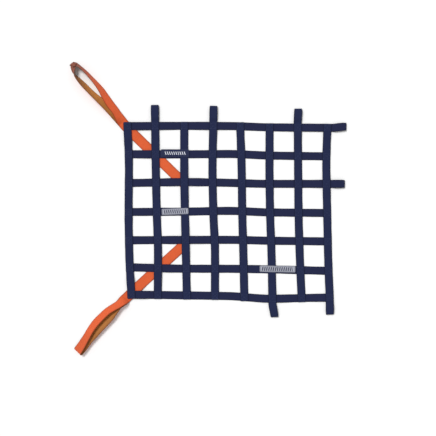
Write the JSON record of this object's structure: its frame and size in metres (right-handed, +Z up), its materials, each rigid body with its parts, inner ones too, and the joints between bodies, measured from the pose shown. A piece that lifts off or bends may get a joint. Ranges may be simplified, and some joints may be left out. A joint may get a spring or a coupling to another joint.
{
  "type": "racing window net",
  "caption": "Flat window net of sewn navy webbing with square gaps, folded tab loops along its edges, and slanting orange straps that end in long loops.",
  "frame": {"origin": "on the surface that the net lies on, under the middle of its middle cross strap", "axes": "+Z up from the surface, +Y towards the top edge of the net, which has three tab loops, +X towards the edge with the two side tabs, away from the orange straps"},
  "size_m": [0.6702, 0.7114, 0.025],
  "materials": {
    "navy_webbing": "matt woven webbing, navy blue",
    "orange_webbing": "matt woven webbing, orange outside and ochre inside",
    "navy_patch": "woven patch, navy with pale bars",
    "silver_patch": "smooth woven patch, silver grey with dark bars"
  },
  "bodies": {
    "root": {"upright_strap_1": "navy_webbing", "upright_strap_2": "navy_webbing", "upright_strap_3": "navy_webbing", "upright_strap_4": "navy_webbing", "upright_strap_5": "navy_webbing", "upright_strap_6": "navy_webbing", "upright_strap_7": "navy_webbing", "upright_strap_8": "navy_webbing", "cross_strap_1": "navy_webbing", "cross_strap_2": "navy_webbing", "cross_strap_3": "navy_webbing", "cross_strap_4": "navy_webbing", "cross_strap_5": "navy_webbing", "cross_strap_6": "navy_webbing", "cross_strap_7": "navy_webbing", "orange_strap_upper": "orange_webbing", "orange_strap_lower": "orange_webbing", "patch_navy": "navy_patch", "patch_silver_middle": "silver_patch", "patch_silver_lower": "silver_patch"}
  },
  "joints": []
}
